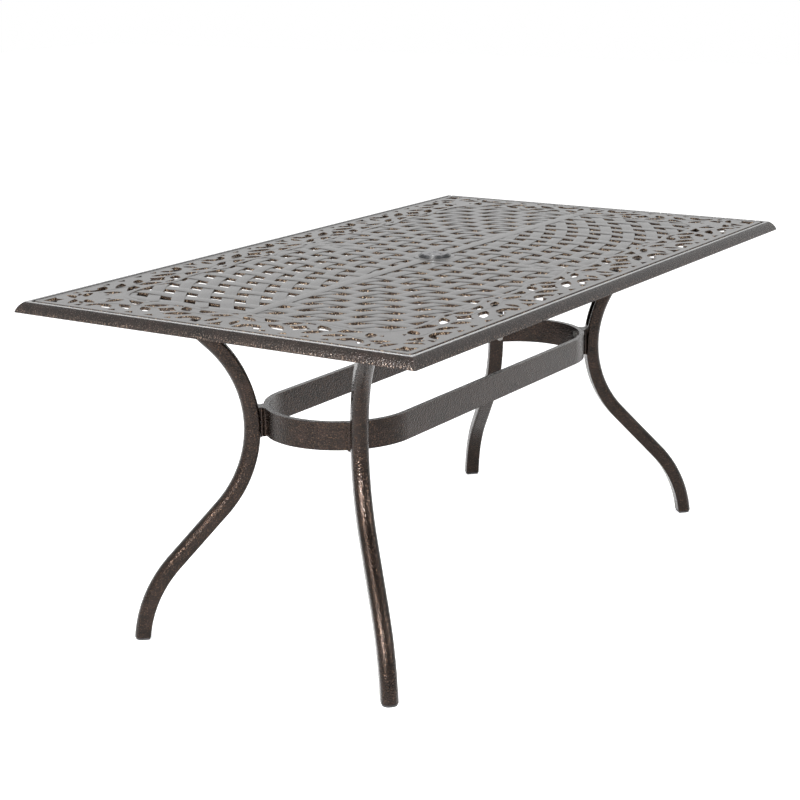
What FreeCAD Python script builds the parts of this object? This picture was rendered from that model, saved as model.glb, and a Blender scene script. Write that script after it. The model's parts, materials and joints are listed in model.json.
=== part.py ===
import FreeCAD, Part
import math
import os
import re
import Sketcher

# Patio table with a cast, basket-weave top, four bowed legs, a stadium-shaped
# stretcher band and an umbrella ring. Origin on the floor under the middle of
# the top: X along the length, Y across the width, Z up. Millimetres, degrees.

doc = FreeCAD.newDocument("umbrella_table")
sheet = doc.addObject("Spreadsheet::Sheet", "Sizes")

SIZES = {
    # top
    "table_length": 1620, "table_width": 946, "top_height": 730,
    "rim_width": 22, "rim_depth": 21, "rim_side": 15,
    "lip_width": 6, "lip_rise": 0.8, "groove": 2, "panel_corner": 12,
    "channel_wall": 7.5, "channel_inner_wall": 4, "channel_depth": 8,
    "ledge_width": 14, "ledge_thick": 3, "panel_thick": 6.5,
    "spine_width": 29, "hub_rise": 3, "hub_radius": 45,
    # weave and border openings
    "border": 118, "field_corner": 60,
    "column_pitch": 50.75, "column_hole": 24, "row_pitch": 53.5, "row_hole": 26,
    "row_bend": 0.000815,
    # bars under the top
    "bar_width": 60, "bar_thick": 12, "centre_bar_width": 50, "centre_bar_thick": 8,
    # legs
    "leg_turn": 45.8, "foot_reach": 435, "foot_tilt": 6.3, "flank_tilt": 43.2,
    "waist_inset": 246, "waist_height": 448, "arch_radius": 254, "top_tilt": 45,
    "leg_width": 35, "leg_depth": 33.5, "leg_round": 16, "leg_edge": 5,
    "pocket_width": 20, "pocket_depth": 20, "pocket_foot": 503,
    "glide_thick": 5, "glide_inset": 2, "glide_pin": 4, "glide_pin_length": 14,
    "plate_thick": 5, "plate_length": 130, "leg_bolt_offset": 48,
    # stretcher band
    "arc_centre": 364, "band_half_width": 162.5, "band_thick": 11.7, "band_low": 429, "band_height": 58,
    "seam_offset": 172, "seam_gap": 0.4,
    "tongue_length": 80, "tongue_height": 40, "tongue_thick": 5,
    "spacer_width": 40, "spacer_neck": 27, "spacer_flare": 6, "spacer_rise": 2, "spacer_clearance": 0.1,
    # fasteners
    "bolt_radius": 4, "bolt_gap": 17, "bolt_grip": 43, "bolt_head": 6.5, "bolt_head_high": 5.3,
    "washer_radius": 8, "washer_thick": 1.6, "hole_clearance": 0.3,
    "screw_radius": 2.5, "screw_head": 4.5, "screw_head_high": 3,
    # umbrella fitting
    "flange_radius": 35.5, "flange_thick": 3, "step_radius": 32, "step_high": 2,
    "seat_radius": 29, "sleeve_radius": 27.5, "bore_radius": 24, "cap_bore": 25, "sleeve_foot": 700,
    "nut_radius": 37, "nut_thick": 10, "thread_clearance": 0.1,
    "cap_clearance": 0.4, "cap_thick": 3.2, "cap_skirt": 12, "cap_wall": 3,
}

for row, (alias, value) in enumerate(SIZES.items(), start=1):
    sheet.set(f"A{row}", alias)
    sheet.set(f"B{row}", str(value))
    sheet.setAlias(f"B{row}", alias)
doc.recompute()

# Derived heights and reaches, written once and used by several parts.
DERIVED = {
    "RIM_FOOT": "(top_height - rim_depth)",
    "PANEL_FOOT": "(top_height - panel_thick)",
    "PANEL_EDGE": "(rim_width + groove)",
    "HUB_TOP": "(top_height + hub_rise)",
    "BAR_FOOT": "(top_height - panel_thick - bar_thick)",
    "LEG_TOP": "(top_height - panel_thick - bar_thick - plate_thick)",
    "BAND_INNER": "(band_half_width - band_thick)",
    "WAIST_FACE": "(foot_reach - waist_inset - leg_depth / 2)",
    "ARCH_CENTRE": "(foot_reach - waist_inset + arch_radius)",
    "BAND_MIDDLE": "(band_low + band_height / 2)",
}
DERIVED["TOP_REACH"] = ("(ARCH_CENTRE - arch_radius * cos(top_tilt)"
                        " + (LEG_TOP - waist_height - arch_radius * sin(top_tilt)) * tan(top_tilt))")
DERIVED["LEG_TOP_X"] = "(arc_centre + TOP_REACH * cos(leg_turn))"
DERIVED["LEG_TOP_Y"] = "(TOP_REACH * sin(leg_turn))"
DERIVED["WASHER_SEAT"] = "sqrt(BAND_INNER * BAND_INNER - washer_radius * washer_radius)"

CORNERS = {
    "right_far": (1, 1, "leg_turn"), "left_far": (-1, 1, "180 - leg_turn"),
    "left_near": (-1, -1, "180 + leg_turn"), "right_near": (1, -1, "360 - leg_turn"),
}
nodes = []


def formula(text):
    """Spell a formula out with the sheet's cells; plain numbers pass through."""
    text = str(text)
    while re.search(r"\b[A-Z_]{6,}\b", text):
        text = re.sub(r"\b[A-Z_]{6,}\b", lambda word: DERIVED[word.group()], text)
    return re.sub(r"\b[a-z_]+\b",
                  lambda word: "Sizes." + word.group() if word.group() in SIZES else word.group(), text)


def value(text):
    return float(sheet.evalExpression(formula(text)))


def bind(thing, **formulas):
    for name, text in formulas.items():
        thing.setExpression(name, formula(text))
    return thing


def place(thing, x=0, y=0, z=0, rotation=None):
    if rotation:
        thing.Placement = FreeCAD.Placement(FreeCAD.Vector(0, 0, 0), rotation)
    for axis, text in zip("xyz", (x, y, z)):
        thing.setExpression("Placement.Base." + axis, formula(text))
    return thing


def node(thing, label):
    thing.Label = label
    nodes.append(label)
    return thing


def box(name, x, y, z, length, width, height):
    thing = bind(doc.addObject("Part::Box", name), Length=length, Width=width, Height=height)
    return place(thing, x, y, z)


def centred_box(name, length, width, z, height):
    return box(name, f"-({length}) / 2", f"-({width}) / 2", z, length, width, height)


def cylinder(name, x, y, z, radius, height, rotation=None):
    thing = bind(doc.addObject("Part::Cylinder", name), Radius=radius, Height=height)
    return place(thing, x, y, z, rotation)


def hexagon(name, x, y, z, radius, height, rotation=None):
    thing = doc.addObject("Part::Prism", name)
    thing.Polygon = 6
    bind(thing, Circumradius=f"({radius}) / cos(30)", Height=height)
    return place(thing, x, y, z, rotation)


def joined(kind, name, shapes):
    thing = doc.addObject(kind, name)
    if kind == "Part::Compound":
        thing.Links = shapes
    else:
        thing.Shapes = shapes
    return thing


def fuse(name, *shapes):
    return joined("Part::MultiFuse", name, list(shapes))


def common(name, *shapes):
    return joined("Part::MultiCommon", name, list(shapes))


def cut(name, base, tool):
    thing = doc.addObject("Part::Cut", name)
    thing.Base = base
    thing.Tool = tool
    return thing


def towards(corner):
    """The turn that points an upright piece outward along a leg's plane."""
    side_x, side_y, angle = CORNERS[corner]
    turn = math.radians(value(angle))
    return FreeCAD.Rotation(FreeCAD.Vector(0, 0, 1), FreeCAD.Vector(math.cos(turn), math.sin(turn), 0))


def new_body(label, corner=None):
    """A body; a corner body is drawn with its X pointing from the band's arc centre to the foot."""
    body = node(doc.addObject("PartDesign::Body", "Body_" + label), label)
    if corner:
        side_x, side_y, angle = CORNERS[corner]
        turn = FreeCAD.Rotation(FreeCAD.Vector(0, 0, 1), value(angle))
        place(body, f"{side_x} * arc_centre", 0, 0, turn)
        body.setExpression("Placement.Rotation.Angle", formula(angle))
    return body


def new_sketch(body, name, role, lift=0):
    sketch = body.newObject("Sketcher::SketchObject", name)
    plane = [part for part in body.Origin.OriginFeatures if part.Role == role][0]
    sketch.AttachmentSupport = (plane, [""])
    sketch.MapMode = "FlatFace"
    if lift:
        sketch.setExpression("AttachmentOffset.Base.z", formula(lift))
    return sketch


def fix_point(sketch, edge, end, x, y):
    """Tie one end of an edge to a position given by two formulas."""
    for kind, axis, text in (("DistanceX", -2, x), ("DistanceY", -1, y)):
        number = value(text)
        if abs(number) < 1e-9:
            sketch.addConstraint(Sketcher.Constraint("PointOnObject", edge, end, axis))
            continue
        item = sketch.addConstraint(Sketcher.Constraint(kind, -1, 1, edge, end, number))
        sketch.setExpression(f"Constraints[{item}]", formula(f"({text}) * 1 mm"))


def fix_size(sketch, kind, text, unit, *where):
    number = value(text)
    item = sketch.addConstraint(Sketcher.Constraint(kind, *where, math.radians(number) if unit == "deg" else number))
    sketch.setExpression(f"Constraints[{item}]", formula(f"({text}) * 1 {unit}"))


def polygon(body, name, role, lift, corners):
    sketch = new_sketch(body, name, role, lift)
    points = [FreeCAD.Vector(value(x), value(y), 0) for x, y in corners]
    count = len(points)
    for i, point in enumerate(points):
        sketch.addGeometry(Part.LineSegment(point, points[(i + 1) % count]))
    for i in range(count):
        sketch.addConstraint(Sketcher.Constraint("Coincident", i, 2, (i + 1) % count, 1))
        fix_point(sketch, i, 1, *corners[i])
    return sketch


def circle(body, name, role, lift, x, y, radius):
    sketch = new_sketch(body, name, role, lift)
    sketch.addGeometry(Part.Circle(FreeCAD.Vector(value(x), value(y), 0), FreeCAD.Vector(0, 0, 1), value(radius)))
    fix_point(sketch, 0, 3, x, y)
    fix_size(sketch, "Radius", radius, "mm", 0)
    return sketch


def pad(body, sketch, length):
    thing = body.newObject("PartDesign::Pad", sketch.Name + "_pad")
    thing.Profile = sketch
    return bind(thing, Length=length)


def pocket(body, sketch, length=None, reverse=False):
    thing = body.newObject("PartDesign::Pocket", sketch.Name + "_pocket")
    thing.Profile = sketch
    thing.Reversed = reverse
    if length:
        return bind(thing, Length=length)
    thing.Type = "ThroughAll"
    return thing


def pipe(body, kind, profile, path):
    thing = body.newObject("PartDesign::" + kind, profile.Name + "_pipe")
    thing.Profile = profile
    thing.Spine = (path, [f"Edge{i + 1}" for i in range(len(path.Shape.Edges))])
    return thing


def rounded_outline(body, name, role, lift, low, high, radii):
    """A rectangle between two corners, rounded by its own radius at each corner.

    The first radius belongs to the corner at high x and low y; the rest follow round."""
    sketch = new_sketch(body, name, role, lift)
    turn = FreeCAD.Vector(0, 0, 1)
    (low_x, low_y), (high_x, high_y) = low, high
    corners = [(high_x, low_y), (high_x, high_y), (low_x, high_y), (low_x, low_y)]
    points = [FreeCAD.Vector(value(x), value(y), 0) for x, y in corners]
    sizes = [value(radius) for radius in radii]
    ways = [FreeCAD.Vector(1, 0, 0), FreeCAD.Vector(0, 1, 0), FreeCAD.Vector(-1, 0, 0), FreeCAD.Vector(0, -1, 0)]
    for i in range(4):
        start = points[i - 1] + ways[i] * sizes[i - 1]
        end = points[i] - ways[i] * sizes[i]
        centre = end + ways[(i + 1) % 4] * sizes[i]
        first = (i - 1) * math.pi / 2
        sketch.addGeometry(Part.LineSegment(start, end))
        sketch.addGeometry(Part.ArcOfCircle(Part.Circle(centre, turn, sizes[i]), first, first + math.pi / 2))
    for i, (x, y) in enumerate(corners):
        line, arc, following = 2 * i, 2 * i + 1, (2 * i + 2) % 8
        inward = ways[(i + 1) % 4] - ways[i]
        sketch.addConstraint(Sketcher.Constraint("Tangent", line, 2, arc, 1))
        sketch.addConstraint(Sketcher.Constraint("Tangent", arc, 2, following, 1))
        fix_point(sketch, arc, 3, f"({x}) + {inward.x} * ({radii[i]})", f"({y}) + {inward.y} * ({radii[i]})")
        fix_size(sketch, "Radius", radii[i], "mm", arc)
    return sketch


def rounded_block(name, length, width, radius, foot, height):
    """A plate with rounded upright corners, used to build other pieces."""
    body = doc.addObject("PartDesign::Body", name)
    low, high = (f"-({length}) / 2", f"-({width}) / 2"), (f"({length}) / 2", f"({width}) / 2")
    sketch = rounded_outline(body, name + "_outline", "XY_Plane", foot, low, high, [radius] * 4)
    doc.recompute()
    pad(body, sketch, height)
    return body


# Rim: four straight mouldings with a lip, a ledge for the panels and a channel
# below, mitred at the corners. The side bulges outward down to a sharp lower
# edge; its curve is given as shares of the side's width and height.
RIM_CURVE = [(0, 0), (0.03, 0.1), (0.17, 0.35), (0.37, 0.59), (0.6, 0.79), (0.84, 0.94), (1, 1)]


def build_rim():
    def ring(name, outer, inner, foot, height, corner=None):
        sizes = [(f"table_length - 2 * ({inset})", f"table_width - 2 * ({inset})") for inset in (outer, inner)]
        solid = centred_box(name + "_solid", *sizes[0], foot, height)
        if corner:
            hollow = rounded_block(name + "_hollow", *sizes[1], corner, f"{foot} - 1", f"{height} + 2")
        else:
            hollow = centred_box(name + "_hollow", *sizes[1], f"{foot} - 1", f"{height} + 2")
        return cut(name, solid, hollow)

    inner_part = ring("rim_inner", "rim_side", "rim_width", "RIM_FOOT", "rim_depth - lip_rise", "panel_corner")
    lip = ring("rim_lip", "rim_width - lip_width - 1", "rim_width - 1", "top_height - rim_depth / 2",
               "rim_depth / 2", "panel_corner")
    ledge = ring("rim_ledge", "rim_width - 2", "rim_width + ledge_width", "PANEL_FOOT - ledge_thick", "ledge_thick")
    under = ring("rim_under", "channel_wall", "rim_width - channel_inner_wall", "RIM_FOOT - 1",
                 "channel_depth + 1")
    holes = []
    for i, (x, y) in enumerate(RIM_SCREWS):
        holes.append(cylinder(f"ledge_hole_{i}", x, y, "PANEL_FOOT - ledge_thick - 1",
                              "screw_radius + hole_clearance / 2", "ledge_thick + 2"))
    hollows = joined("Part::Compound", "rim_hollows", [under] + holes)

    mouldings = []
    for label, along_x, side in (("near", 1, -1), ("far", 1, 1), ("left", 0, -1), ("right", 0, 1)):
        end, edge = ("table_length", "table_width") if along_x else ("table_width", "table_length")
        moulding = doc.addObject("PartDesign::Body", "Moulding_" + label)
        section = [(f"rim_side * {inset}", f"RIM_FOOT + (rim_depth - lip_rise) * {rise}") for inset, rise in RIM_CURVE]
        section += [("rim_side + 0.5", "top_height - lip_rise"), ("rim_side + 0.5", "RIM_FOOT")]
        corners = [(f"{side} * ({edge} / 2 - ({inset}))", height) for inset, height in section]
        plane = "YZ_Plane" if along_x else "XZ_Plane"
        profile = polygon(moulding, "rim_section_" + label, plane, f"-{end} / 2", corners)
        doc.recompute()
        pad(moulding, profile, end)
        mouldings.append((label, along_x, side, end, edge, moulding))

    reach = "(rim_width + ledge_width + 5)"
    for label, along_x, side, end, edge, moulding in mouldings:
        corners = [(f"-{end} / 2", f"{side} * {edge} / 2"), (f"{end} / 2", f"{side} * {edge} / 2"),
                   (f"{end} / 2 - {reach}", f"{side} * ({edge} / 2 - {reach})"),
                   (f"{reach} - {end} / 2", f"{side} * ({edge} / 2 - {reach})")]
        if not along_x:
            corners = [(y, x) for x, y in corners]
        wedge = doc.addObject("PartDesign::Body", "Mitre_" + label)
        sketch = polygon(wedge, "mitre_" + label, "XY_Plane", "RIM_FOOT - 1", corners)
        doc.recompute()
        pad(wedge, sketch, "rim_depth + 2")
        blank = common("rim_blank_" + label, fuse("rim_solid_" + label, moulding, inner_part, lip, ledge), wedge)
        node(cut("rim_" + label, blank, hollows), "rim_rail_" + label)


# Screws up through the ledge into the panels' edge strip, and through the bars.
EDGE_X = "(table_length / 2 - PANEL_EDGE - ledge_width / 2)"
EDGE_Y = "(table_width / 2 - PANEL_EDGE - ledge_width / 2)"
RIM_SCREWS = [(f"{part} * table_length", f"{side} * {EDGE_Y}")
              for side in (-1, 1) for part in (-0.42, -0.25, -0.08, 0.08, 0.25, 0.42)]
RIM_SCREWS += [(f"{side} * {EDGE_X}", f"{part} * table_width")
               for side in (-1, 1) for part in (-0.35, -0.1, 0.1, 0.35)]
STRIP_X = "12 * column_pitch"
PANEL_SCREWS = [(f"{side} * {STRIP_X}", f"{part} * row_pitch") for side in (-1, 1) for part in (-2, -1, 1, 2)]
PANEL_SCREWS += [(f"{part} * column_pitch", f"{side} * spine_width / 4")
                 for part in (-9, -5.5, -2, 2, 5.5, 9) for side in (-1, 1)]


def under_thickness(x):
    """How thick the metal under the panel is where a panel screw passes."""
    return "bar_thick" if x.endswith(STRIP_X) else "centre_bar_thick"


# Openings. A weave opening sits between two upright strips and two bowed strips.
def weave_openings(field):
    pitch, hole = value("column_pitch"), value("column_hole")
    row_pitch, row_hole, bend = value("row_pitch"), value("row_hole"), value("row_bend")
    faces = []
    for column in range(1, 14):
        lean = 34 - 2 * column
        for row in range(1, 14):
            middle = (row - 0.5) * row_pitch - (6 if row == 1 else 0)
            if column == 1 and middle > 200:
                continue
            start = 92 + 0.21 * middle
            corners = []
            for side, rise in ((-1, -1), (1, -1), (1, 1), (-1, 1)):
                x = (column - 0.5) * pitch + side * hole / 2
                y = middle + rise * row_hole / 2 - bend * max(0, x - start) ** 2
                if y > 150:
                    x -= lean * ((y - 150) / 150) ** 1.2
                corners.append((x, y))
            if max(y for x, y in corners) < 0.5 * value("spine_width") + 6:
                continue
            if min(y for x, y in corners) > value("table_width") / 2 - 130:
                continue
            for flip_x in (-1, 1):
                for flip_y in (-1, 1):
                    faces.append(flat([(flip_x * x, flip_y * y) for x, y in corners]))
    return Part.makeCompound(faces).common(field)


def flat(points, arcs=False):
    """A face inside the points; with arcs, every second point is the middle of an arc."""
    corners = [FreeCAD.Vector(x, y, 0) for x, y in points]
    if not arcs:
        return Part.Face(Part.makePolygon(corners + corners[:1]))
    first, middle, last, other = corners
    edges = [Part.Arc(first, middle, last).toShape(), Part.Arc(last, other, first).toShape()]
    return Part.Face(Part.Wire(edges))


class Opening:
    """One opening's outline: straight-sided, or a pointed leaf of two arcs."""

    def __init__(self, points, arcs=False):
        self.points = points
        self.arcs = arcs

    def moved(self, change):
        return Opening([change(x, y) for x, y in self.points], self.arcs)

    def face(self):
        return flat(self.points, self.arcs)


def leaf(x1, y1, x2, y2, width, bow=0.0):
    """Pointed leaf from one end to the other; bow bends it to one side."""
    length = math.hypot(x2 - x1, y2 - y1)
    middles = []
    for side in (1, -1):
        off = side * width / 2 + bow * length
        middles.append(((x1 + x2) / 2 - (y2 - y1) / length * off, (y1 + y2) / 2 + (x2 - x1) / length * off))
    return Opening([(x1, y1), middles[0], (x2, y2), middles[1]], arcs=True)


# One repeat of the border, centred on its diamond: distances along the edge
# and inwards from the panel's edge.
MIDDLE_OPENINGS = [
    Opening([(0, 93), (-20, 76), (0, 57), (20, 76)]),
    Opening([(-9, 108), (9, 108), (0, 116)]),
    Opening([(-9, 18), (9, 18), (0, 28)]),
]
SIDE_OPENINGS = [
    leaf(17, 104, 52, 85, 14), leaf(62, 70, 26, 43, 14), leaf(69, 30, 114, 26, 15, 0.36),
    leaf(132, 68, 141, 36, 12, -0.08), leaf(114, 79, 157, 97, 11, 0.08),
    Opening([(72, 97), (106, 101), (94, 90), (80, 85)]), Opening([(144, 108), (160, 108), (158, 116)]),
    Opening([(39, 18), (57, 18), (49, 27)]), Opening([(90, 18), (107, 18), (99, 23)]),
]
STAR_OPENING = Opening([(-15, 19), (15, 19), (5, 28), (0, 42), (-5, 28)])
CORNER_MIDDLE = Opening([(18, 18), (46, 18), (46, 44), (18, 46)])
CORNER_SIDE = [
    leaf(66, 22, 68, 60, 10, 0.15), leaf(112, 22, 110, 58, 10, -0.15), leaf(78, 66, 106, 68, 9, -0.1),
    leaf(80, 44, 98, 36, 12, 0.1), leaf(124, 84, 112, 64, 10, -0.1), leaf(90, 82, 116, 98, 11, 0.1),
    Opening([(84, 18), (100, 18), (92, 25)]),
]
CORNER_SIZE = 131
HALF_REPEAT = 164


def border_openings(half_x, half_y):
    corner = [CORNER_MIDDLE] + CORNER_SIDE + [item.moved(lambda x, y: (y, x)) for item in CORNER_SIDE]
    outlines = []
    for flip_x in (-1, 1):
        for flip_y in (-1, 1):
            outlines += [item.moved(lambda x, y: (flip_x * (half_x - x), flip_y * (half_y - y)))
                         for item in corner]
    mirrored = [item.moved(lambda x, y: (-x, y)) for item in SIDE_OPENINGS]
    for along, across, repeats, swap in ((half_x, half_y, 4, False), (half_y, half_x, 2, True)):
        stretch = (along - CORNER_SIZE) / repeats / HALF_REPEAT
        for index in range(repeats):
            middle = (2 * index + 1 - repeats) * HALF_REPEAT
            repeat = [(middle, item) for item in MIDDLE_OPENINGS + SIDE_OPENINGS + mirrored]
            if index:
                repeat.append((middle - HALF_REPEAT, STAR_OPENING))
            for centre, item in repeat:
                for side in (-1, 1):
                    laid = item.moved(lambda x, y: ((centre + x) * stretch, side * (across - y)))
                    outlines.append(laid.moved(lambda x, y: (y, x)) if swap else laid)
    return [item.face() for item in outlines]


# Two pierced panels meeting along the spine, with a raised hub at the middle.
def build_panels():
    length, width = "(table_length - 2 * PANEL_EDGE)", "(table_width - 2 * PANEL_EDGE)"
    plate = rounded_block("panel_plate", length, width, "panel_corner - groove", "PANEL_FOOT", "panel_thick")
    hub = cylinder("panel_hub", 0, 0, "PANEL_FOOT", "hub_radius", "panel_thick + hub_rise")
    holes = [cylinder("panel_bore", 0, 0, "PANEL_FOOT - 1", "sleeve_radius + hole_clearance", "panel_thick + 20")]
    for i, (x, y) in enumerate(RIM_SCREWS + PANEL_SCREWS):
        holes.append(cylinder(f"panel_hole_{i}", x, y, "PANEL_FOOT - 1", "screw_radius + 0.05",
                              "panel_thick * 0.75 + 1"))
    drilled = cut("panel_drilled", fuse("panel_solid", plate, hub), joined("Part::Compound", "panel_holes", holes))
    near_side = box("panel_near_side", "-table_length / 2", "-table_width / 2", "PANEL_FOOT - 1", "table_length",
                    "table_width / 2", "panel_thick + hub_rise + 2")
    blank = common("panel_blank", drilled, near_side)

    half_x, half_y, spine = value(length) / 2, value(width) / 2, value("spine_width") / 2
    inner_x, inner_y = half_x - value("border"), half_y - value("border") - 6
    field = Part.makeBox(2 * inner_x, 2 * inner_y, 2, FreeCAD.Vector(-inner_x, -inner_y, -1))
    uprights = [edge for edge in field.Edges if abs(edge.Vertexes[0].Z - edge.Vertexes[-1].Z) > 1]
    field = field.makeFillet(value("field_corner"), uprights)
    field = field.cut(Part.makeBox(2 * half_x, 2 * spine, 4, FreeCAD.Vector(-half_x, -spine, -2)))
    field = field.cut(Part.makeCylinder(value("hub_radius") + 3, 4, FreeCAD.Vector(0, 0, -2)))
    faces = [face for face in weave_openings(field).Faces if face.Area > 70]
    faces += border_openings(half_x, half_y)
    through = FreeCAD.Vector(0, 0, value("panel_thick") + 2)
    openings = doc.addObject("Part::Feature", "panel_openings")
    openings.Shape = Part.makeCompound([face.extrude(through) for face in faces if face.BoundBox.YMax < 0])
    place(openings, 0, 0, "PANEL_FOOT - 1")

    pierced = cut("panel_near", blank, openings)
    pierced.Refine = False
    node(pierced, "near_panel")
    twin = doc.addObject("Part::Mirroring", "panel_far")
    twin.Source = pierced
    twin.Normal = FreeCAD.Vector(0, 1, 0)
    node(twin, "far_panel")


# Bars under the panels: one across above each pair of legs, one along the spine.
def build_bars():
    wall = "(table_width - 2 * rim_width)"
    clear = "(table_width - 2 * (rim_width + ledge_width))"
    for label, side in (("left", -1), ("right", 1)):
        x = f"{side} * LEG_TOP_X - bar_width / 2"
        low = box("bar_low_" + label, x, f"-{wall} / 2", "BAR_FOOT", "bar_width", wall, "bar_thick - ledge_thick")
        high = box("bar_high_" + label, x, f"-{clear} / 2", "BAR_FOOT", "bar_width", clear, "bar_thick")
        holes = []
        for end in (-1, 1):
            for step in (-1, 1):
                holes.append(cylinder(f"bar_tap_{label}_{end + 1}{step + 1}", f"{side} * LEG_TOP_X",
                                      f"{end} * LEG_TOP_Y + {step} * leg_bolt_offset", "BAR_FOOT - 1",
                                      "bolt_radius + 0.05", "bar_thick - 1"))
        for i, (screw_x, screw_y) in enumerate(PANEL_SCREWS[:8]):
            if screw_x.startswith(f"{side} "):
                holes.append(cylinder(f"bar_hole_{label}_{i}", screw_x, screw_y, "BAR_FOOT - 1",
                                      "screw_radius + hole_clearance / 2", "bar_thick + 2"))
        tool = joined("Part::Compound", "bar_holes_" + label, holes)
        node(cut("bar_" + label, fuse("bar_blank_" + label, low, high), tool), "leg_bar_" + label)
    length = "(2 * LEG_TOP_X - bar_width)"
    bar = centred_box("centre_blank", length, "centre_bar_width", "PANEL_FOOT - centre_bar_thick", "centre_bar_thick")
    hub = cylinder("centre_hub", 0, 0, "PANEL_FOOT - centre_bar_thick", "hub_radius", "centre_bar_thick")
    bore = cylinder("centre_bore", 0, 0, "BAR_FOOT", "sleeve_radius + hole_clearance", "bar_thick + 2")
    holes = [bore]
    for i, (x, y) in enumerate(PANEL_SCREWS[8:]):
        holes.append(cylinder(f"centre_hole_{i}", x, y, "BAR_FOOT", "screw_radius + hole_clearance / 2",
                              "bar_thick + 2"))
    tool = joined("Part::Compound", "centre_holes", holes)
    node(cut("centre_drilled", fuse("centre_fused", bar, hub), tool), "centre_bar")


# A leg: straight up from the foot, leaning in to the waist, then out to the top.
def leg_path(body, name):
    sketch = new_sketch(body, name, "XZ_Plane")
    up = FreeCAD.Vector(0, 0, 1)
    reach, lift = value("foot_reach"), value("glide_thick")
    arch, centre_x, centre_z = value("arch_radius"), value("ARCH_CENTRE"), value("waist_height")
    foot, flank, top = (math.radians(value(name)) for name in ("foot_tilt", "flank_tilt", "top_tilt"))
    rise = centre_z - arch * math.sin(flank) - lift
    inset = reach - (centre_x - arch * math.cos(flank))
    across = math.cos(foot) - math.cos(flank)
    along = math.sin(flank) - math.sin(foot)
    low = (inset * math.cos(flank) - rise * math.sin(flank)) / (
        across * math.cos(flank) - along * math.sin(flank))
    low_centre = FreeCAD.Vector(reach - low * math.cos(foot), lift - low * math.sin(foot), 0)
    arch_centre = FreeCAD.Vector(centre_x, centre_z, 0)
    bend_end = low_centre + FreeCAD.Vector(low * math.cos(flank), low * math.sin(flank), 0)
    arch_foot = arch_centre - FreeCAD.Vector(arch * math.cos(flank), arch * math.sin(flank), 0)
    arch_top = arch_centre + FreeCAD.Vector(-arch * math.cos(top), arch * math.sin(top), 0)
    over = value("LEG_TOP") + 40 - arch_top.y
    tip = arch_top + FreeCAD.Vector(over * math.tan(top), over, 0)
    sketch.addGeometry(Part.ArcOfCircle(Part.Circle(low_centre, up, low), foot, flank))
    sketch.addGeometry(Part.LineSegment(bend_end, arch_foot))
    sketch.addGeometry(Part.ArcOfCircle(Part.Circle(arch_centre, up, arch), math.pi - top, math.pi + flank))
    sketch.addGeometry(Part.LineSegment(arch_top, tip))
    heel = sketch.addGeometry(Part.LineSegment(low_centre, FreeCAD.Vector(reach, lift, 0)), True)
    for first, end, second, start in ((0, 2, 1, 1), (1, 2, 2, 2), (2, 1, 3, 1)):
        sketch.addConstraint(Sketcher.Constraint("Tangent", first, end, second, start))
    sketch.addConstraint(Sketcher.Constraint("Coincident", heel, 1, 0, 3))
    sketch.addConstraint(Sketcher.Constraint("Coincident", heel, 2, 0, 1))
    fix_point(sketch, 0, 1, "foot_reach", "glide_thick")
    fix_point(sketch, 2, 3, "ARCH_CENTRE", "waist_height")
    fix_size(sketch, "Radius", "arch_radius", "mm", 2)
    fix_size(sketch, "Angle", "foot_tilt", "deg", heel)
    fix_size(sketch, "Angle", "90 + flank_tilt", "deg", 1)
    fix_size(sketch, "Angle", "90 - top_tilt", "deg", 3)
    item = sketch.addConstraint(Sketcher.Constraint("DistanceY", -1, 1, 3, 2, tip.y))
    sketch.setExpression(f"Constraints[{item}]", formula("(LEG_TOP + 40) * 1 mm"))
    return sketch


def pocket_path(body, name):
    """The upper part of the leg's line, where the casting is open on the inner side."""
    sketch = new_sketch(body, name, "XZ_Plane")
    up = FreeCAD.Vector(0, 0, 1)
    arch, top = value("arch_radius"), math.radians(value("top_tilt"))
    centre = FreeCAD.Vector(value("ARCH_CENTRE"), value("waist_height"), 0)
    low = math.asin((value("pocket_foot") - centre.y) / arch)
    arch_top = centre + FreeCAD.Vector(-arch * math.cos(top), arch * math.sin(top), 0)
    over = value("LEG_TOP") + 40 - arch_top.y
    tip = arch_top + FreeCAD.Vector(over * math.tan(top), over, 0)
    sketch.addGeometry(Part.ArcOfCircle(Part.Circle(centre, up, arch), math.pi - top, math.pi - low))
    sketch.addGeometry(Part.LineSegment(arch_top, tip))
    sketch.addConstraint(Sketcher.Constraint("Tangent", 0, 1, 1, 1))
    fix_point(sketch, 0, 3, "ARCH_CENTRE", "waist_height")
    fix_size(sketch, "Radius", "arch_radius", "mm", 0)
    fix_size(sketch, "Angle", "90 - top_tilt", "deg", 1)
    for edge, end, height, number in ((0, 2, "pocket_foot", value("pocket_foot")), (1, 2, "LEG_TOP + 40", tip.y)):
        item = sketch.addConstraint(Sketcher.Constraint("DistanceY", -1, 1, edge, end, number))
        sketch.setExpression(f"Constraints[{item}]", formula(f"({height}) * 1 mm"))
    return sketch


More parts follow.
